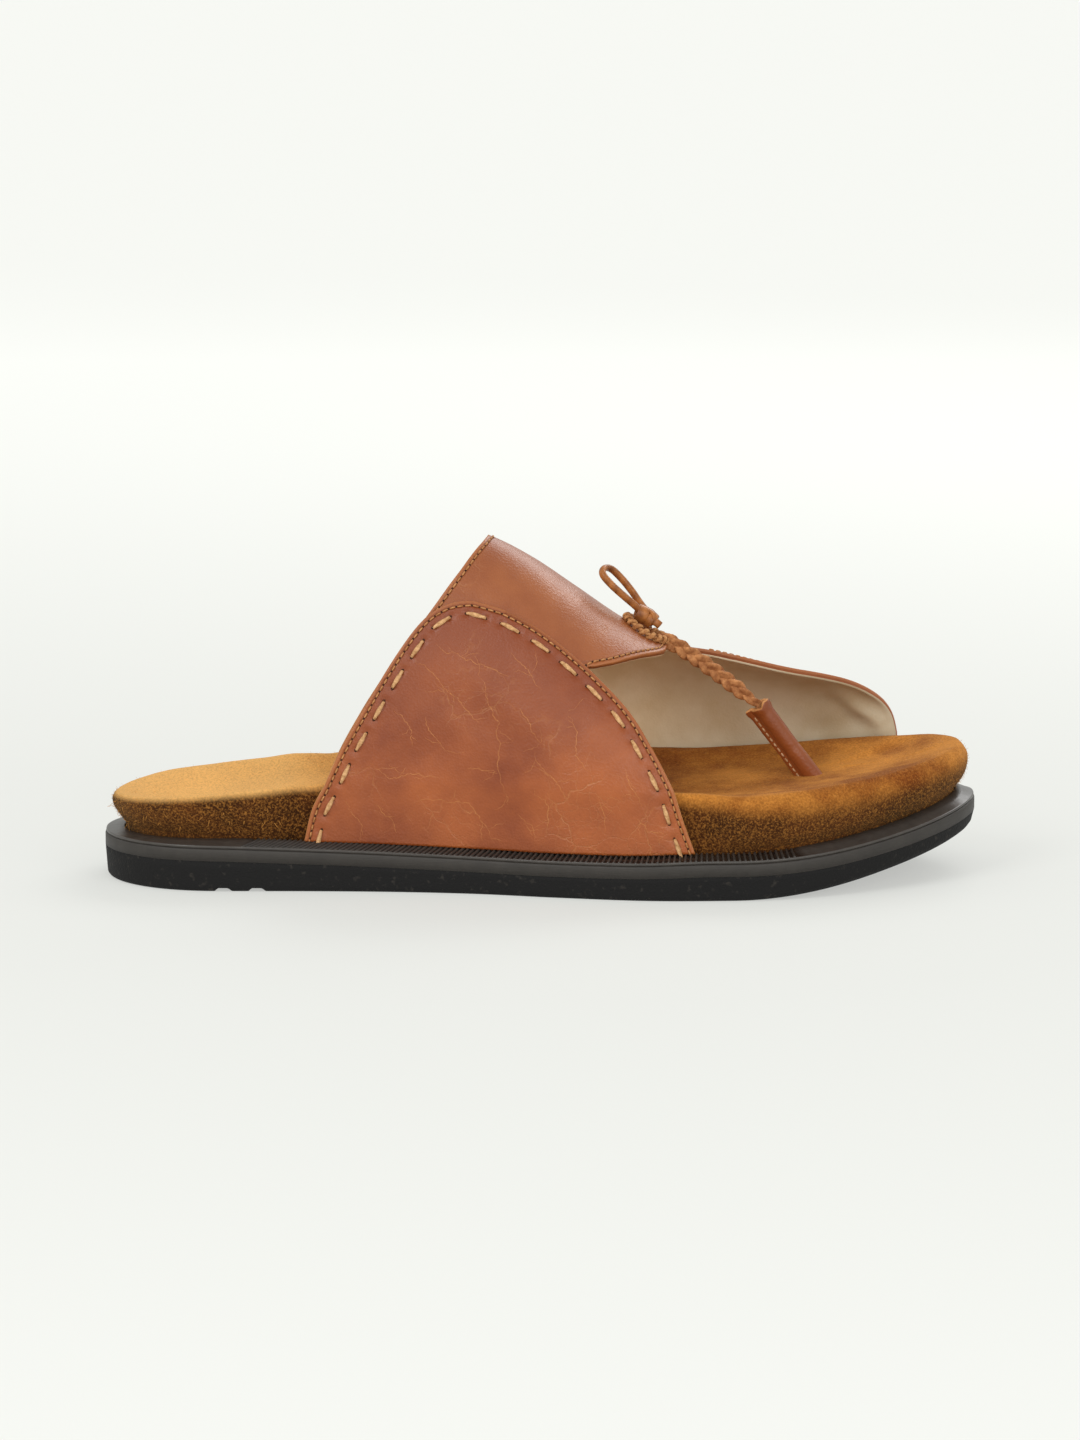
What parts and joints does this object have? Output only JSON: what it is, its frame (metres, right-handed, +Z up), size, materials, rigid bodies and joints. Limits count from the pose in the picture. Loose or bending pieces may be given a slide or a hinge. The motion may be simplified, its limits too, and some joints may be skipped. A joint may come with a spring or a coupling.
{
  "type": "flat sandal",
  "caption": "Flat slip-on sandal: leather vamp with a long inner wing, stitched side panel, braided thong into a sleeved toe post, suede footbed, ribbed welt and foam rubber sole.",
  "frame": {"origin": "middle of the bounding box, on the floor that the sole stands on", "axes": "+X from heel to toe, +Y towards the medial side, +Z up"},
  "size_m": [0.284, 0.1034, 0.1102],
  "materials": {
    "outsole": "matt black foamed rubber with fine speckle",
    "midsole": "matt grey moulded rubber",
    "welt": "dark ribbed rubber",
    "footbed": "golden tan suede, short nap",
    "upper": "waxed brown pull-up leather, beige lining",
    "side_panel": "waxed brown pull-up leather with hand stitches",
    "toe_post": "dark brown smooth leather, stitched seam",
    "thong": "raw-edged braided leather",
    "lace_ring": "whipped leather lace",
    "lace": "smooth tan leather lace"
  },
  "bodies": {
    "root": {"outsole": "outsole", "midsole": "midsole", "welt": "welt", "footbed": "footbed", "upper": "upper", "side_panel": "side_panel", "toe_post": "toe_post", "thong": "thong", "lace_ring": "lace_ring", "lace_knot": "lace", "lace_loop": "lace"}
  },
  "joints": []
}
